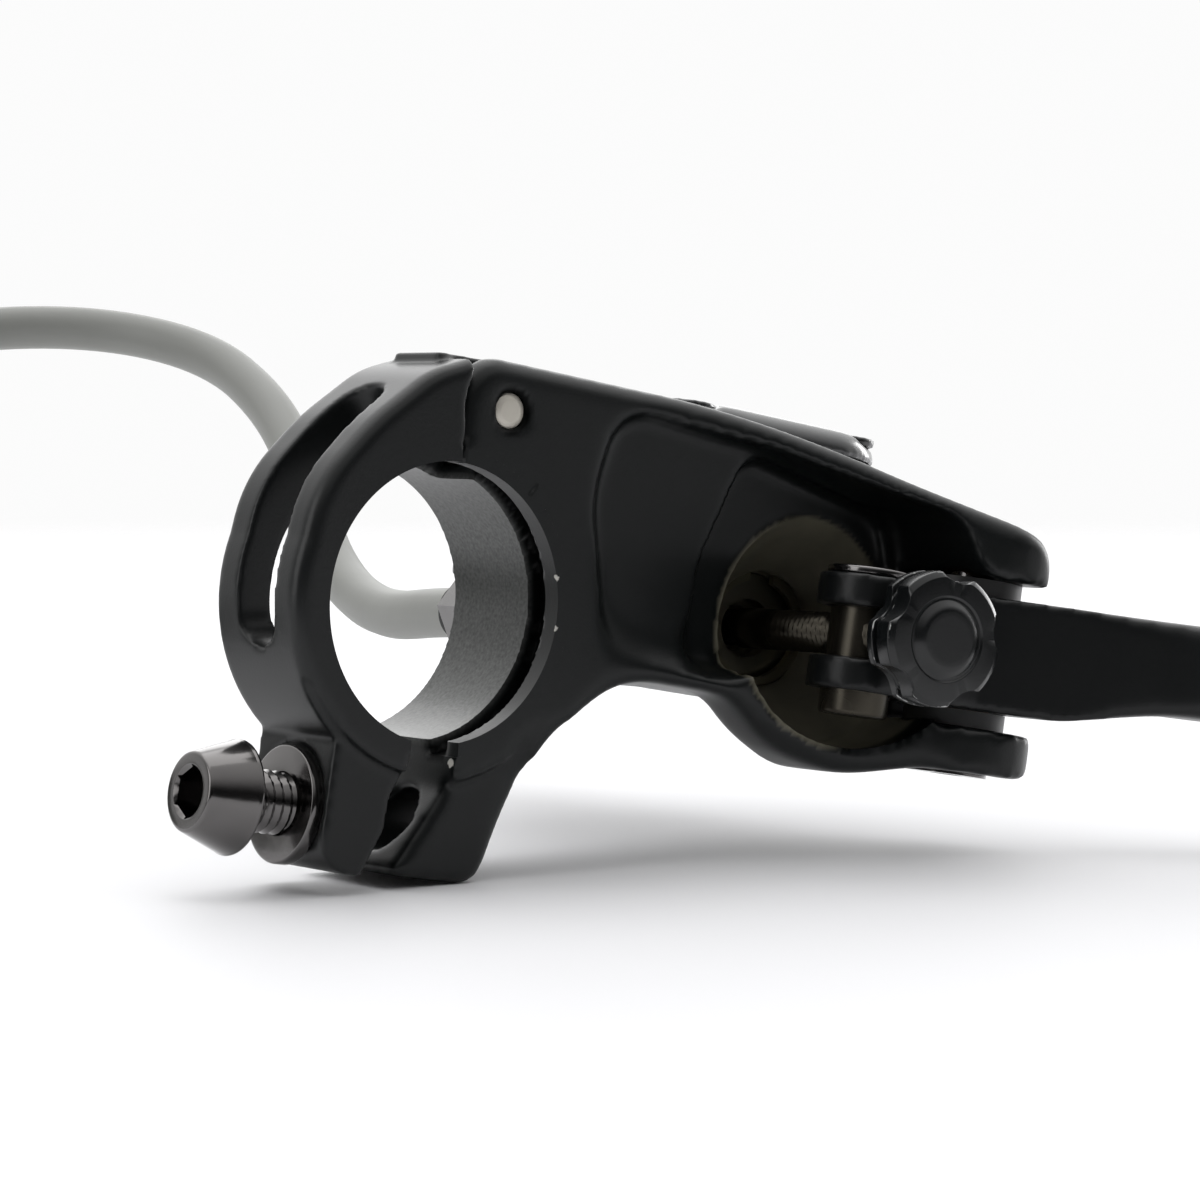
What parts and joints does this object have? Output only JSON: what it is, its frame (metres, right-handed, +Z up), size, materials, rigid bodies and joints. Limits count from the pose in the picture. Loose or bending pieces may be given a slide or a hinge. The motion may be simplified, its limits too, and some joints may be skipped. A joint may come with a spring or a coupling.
{
  "type": "hydraulic brake lever",
  "caption": "Bicycle hydraulic disc brake lever: hinged bar clamp, master cylinder with reservoir, two-finger blade, reach knob and hose with a banjo end.",
  "frame": {"origin": "centre of the bar clamp's bore, on the bar's axis and midway across the clamp", "axes": "+Y along the bar, inboard; +X away from the rider; +Z up. The lever is turned 10 degrees nose-down about the bar."},
  "size_m": [0.1787, 0.2519, 0.049],
  "materials": {
    "body_black": "satin black coat",
    "lid_black": "satin black coat",
    "blade_black": "satin black coat",
    "knob_black": "semi-gloss black anodising",
    "black_steel": "glossy black plating",
    "bright_steel": "bare",
    "bronze": "plain",
    "acetal": "plain",
    "bare_aluminium": "machined",
    "seal_rubber": "moulded",
    "brass": "machined",
    "hose_grey": "smooth sheath",
    "black_aluminium": "black anodised"
  },
  "bodies": {
    "lever_body": {"master_body": "body_black", "hinge_pin": "bright_steel", "pivot_pin": "black_steel", "pivot_sleeve": "bronze", "pivot_washers": "acetal", "stop_ring": "bare_aluminium", "cylinder_snap_ring": "bright_steel", "return_spring": "bright_steel", "reservoir_lid": "lid_black", "reservoir_bladder": "seal_rubber", "lid_screws": "black_steel", "bleed_screw": "black_steel", "bleed_o_ring": "seal_rubber", "hose_nut": "black_steel", "hose_olive": "brass", "hose_barb": "brass", "hose_boot": "seal_rubber", "brake_hose": "hose_grey", "hose_coil": "hose_grey", "hose_tail": "hose_grey", "hose_ferrule": "bright_steel", "banjo_fitting": "black_aluminium"},
    "band": {"clamp_band": "body_black", "clamp_washer": "black_steel"},
    "screw": {"clamp_bolt": "black_steel"},
    "lever": {"lever_blade": "blade_black"},
    "barrel": {"barrel_pin": "bright_steel", "barrel_clip": "black_steel"},
    "push_rod": {"pushrod": "bright_steel", "reach_knob": "knob_black"},
    "piston": {"master_piston": "bare_aluminium", "primary_cup": "seal_rubber", "secondary_seal": "seal_rubber"}
  },
  "joints": [
    {"name": "lever_pull", "type": "hinge", "parent": "lever_body", "child": "lever", "pos_m": [0.04998, -0.0122, -0.00566], "axis": [-0.1736, 0, -0.9848], "range_deg": [0, 18], "stiffness_Nm_per_rad": 0.4, "springref_deg": -17.19},
    {"name": "trunnion_turn", "type": "hinge", "parent": "lever", "child": "barrel", "pos_m": [0.03816, -0.013, -0.00358], "axis": [-0.1736, 0, -0.9848], "range_deg": [-18, 0]},
    {"name": "reach_knob_turn", "type": "hinge", "parent": "barrel", "child": "push_rod", "pos_m": [0.03816, -0.013, -0.00358], "axis": [0.12, 0.9925, -0.0212], "range_deg": [-180, 180]},
    {"name": "piston_stroke", "type": "slide", "parent": "lever_body", "child": "piston", "axis": [0.12, 0.9925, -0.0212], "range_m": [0, 0.0038]},
    {"name": "clamp_hinge", "type": "hinge", "parent": "lever_body", "child": "band", "pos_m": [0.0067, 0, 0.01496], "axis": [0, 1, 0], "range_deg": [0, 85]},
    {"name": "clamp_screw", "type": "slide", "parent": "band", "child": "screw", "axis": [0.9848, 0, -0.1736], "range_m": [-0.006, 0.0041]}
  ],
  "couplings": [
    {"joint": "trunnion_turn", "follows": "lever_pull", "ratio": -1},
    {"joint": "piston_stroke", "follows": "lever_pull", "m_per_rad": 0.01197}
  ]
}
